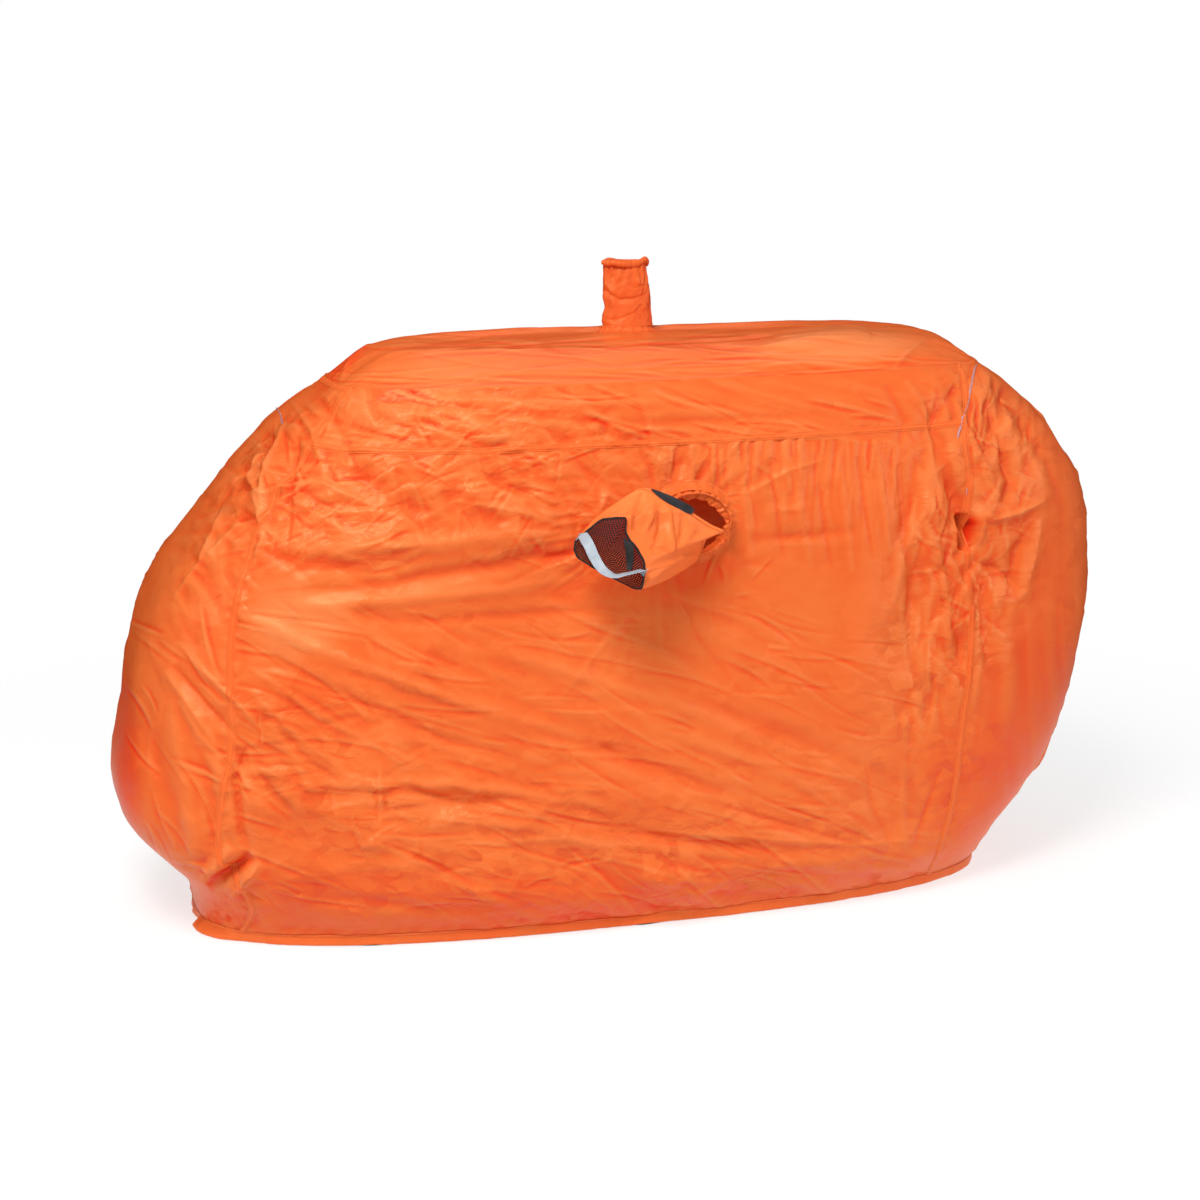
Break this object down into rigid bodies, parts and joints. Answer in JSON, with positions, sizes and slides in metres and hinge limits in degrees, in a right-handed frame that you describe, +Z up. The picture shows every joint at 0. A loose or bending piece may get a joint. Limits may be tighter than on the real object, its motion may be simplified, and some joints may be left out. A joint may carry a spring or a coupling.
{
  "type": "bothy bag",
  "caption": "Soft emergency group shelter in orange ripstop nylon, standing as in use, with a roof vent sleeve and a front vent whose integral stuff sack hangs outside.",
  "frame": {"origin": "centre of the outline on the ground under the hem", "axes": "+X along the length, to the right seen from the front vent's side, -Y out of the side with the front vent, +Z up"},
  "size_m": [1.4475, 0.712, 0.9076],
  "materials": {
    "orange_ripstop": "satin",
    "seam_tape": "matte",
    "hem_tape": "satin",
    "seat_fabric": "matte",
    "reflective_piping": "satin",
    "drawcord": "matte",
    "black_plastic": "satin",
    "spring_steel": "satin",
    "sack_nylon": "satin",
    "vent_mesh": "matte",
    "black_binding": "matte",
    "reflective_tape": "satin"
  },
  "bodies": {
    "root": {"front_panel": "orange_ripstop", "back_panel": "orange_ripstop", "left_end_panel": "orange_ripstop", "right_end_panel": "orange_ripstop", "corner_tape_front_left": "seam_tape", "corner_tape_front_right": "seam_tape", "corner_tape_back_left": "seam_tape", "corner_tape_back_right": "seam_tape", "piping_left": "reflective_piping", "piping_right": "reflective_piping", "hem_front": "hem_tape", "hem_right": "hem_tape", "hem_back": "hem_tape", "hem_left": "hem_tape", "seat_panel_front": "seat_fabric", "seat_panel_back": "seat_fabric"},
    "roof": {"roof_panel": "orange_ripstop", "eaves_tape_front": "seam_tape", "eaves_tape_back": "seam_tape", "roof_end_tape_left": "seam_tape", "roof_end_tape_right": "seam_tape", "top_vent_collar": "orange_ripstop", "top_vent_lower_sleeve": "orange_ripstop"},
    "top_vent": {"top_vent_sleeve": "orange_ripstop", "top_vent_channel": "hem_tape", "top_vent_drawcord": "drawcord", "top_vent_cord_knot": "drawcord", "top_vent_lock_body": "black_plastic", "top_vent_lock_spring": "spring_steel"},
    "top_vent_button": {"top_vent_lock_button": "black_plastic"},
    "front_vent": {"front_vent_collar": "orange_ripstop", "front_vent_channel": "hem_tape", "front_vent_drawcord": "drawcord", "front_vent_cord_knot": "drawcord", "front_vent_lock_body": "black_plastic", "front_vent_lock_spring": "spring_steel", "sack_gusset": "sack_nylon"},
    "front_vent_button": {"front_vent_lock_button": "black_plastic"},
    "sack": {"sack_sleeve": "sack_nylon", "sack_mouth_hem": "sack_nylon", "sack_label": "black_binding", "sack_mesh_base": "vent_mesh", "sack_base_binding": "black_binding", "sack_webbing_tab": "black_binding", "sack_strap_tab_left": "reflective_tape", "sack_strap_tab_right": "reflective_tape"},
    "sack_strap": {"sack_strap": "reflective_tape"}
  },
  "joints": [
    {"name": "roof_drop", "type": "slide", "parent": "root", "child": "roof", "axis": [0, 0, -1], "range_m": [0, 0.45], "deforming": ["front_panel", "back_panel", "left_end_panel", "right_end_panel", "corner_tape_front_left", "corner_tape_front_right", "corner_tape_back_left", "corner_tape_back_right", "piping_left", "piping_right"]},
    {"name": "front_vent_drop", "type": "slide", "parent": "root", "child": "front_vent", "axis": [0, 0, -1], "range_m": [0, 0.325]},
    {"name": "top_vent_fold", "type": "hinge", "parent": "roof", "child": "top_vent", "pos_m": [0.0386, 0.0903, 0.8305], "axis": [1, 0, 0], "range_deg": [-70, 70], "deforming": ["top_vent_lower_sleeve"]},
    {"name": "top_vent_button_press", "type": "slide", "parent": "top_vent", "child": "top_vent_button", "axis": [-1, 0, 0], "range_m": [0, 0.003], "stiffness_N_per_m": 400, "springref_m": -0.003, "deforming": ["top_vent_lock_spring"]},
    {"name": "sack_flip", "type": "hinge", "parent": "front_vent", "child": "sack", "pos_m": [0.0936, -0.2597, 0.557], "axis": [0, 0, 1], "range_deg": [0, 110], "deforming": ["sack_gusset"]},
    {"name": "strap_flip", "type": "hinge", "parent": "sack", "child": "sack_strap", "pos_m": [-0.11644, -0.31949, 0.55821], "axis": [0.7149, -0.5108, -0.4776], "range_deg": [-65, 45]},
    {"name": "front_vent_button_press", "type": "slide", "parent": "front_vent", "child": "front_vent_button", "axis": [-1, 0, 0], "range_m": [0, 0.003], "stiffness_N_per_m": 400, "springref_m": -0.003, "deforming": ["front_vent_lock_spring"]}
  ],
  "couplings": [
    {"joint": "front_vent_drop", "follows": "roof_drop", "ratio": 0.713}
  ]
}
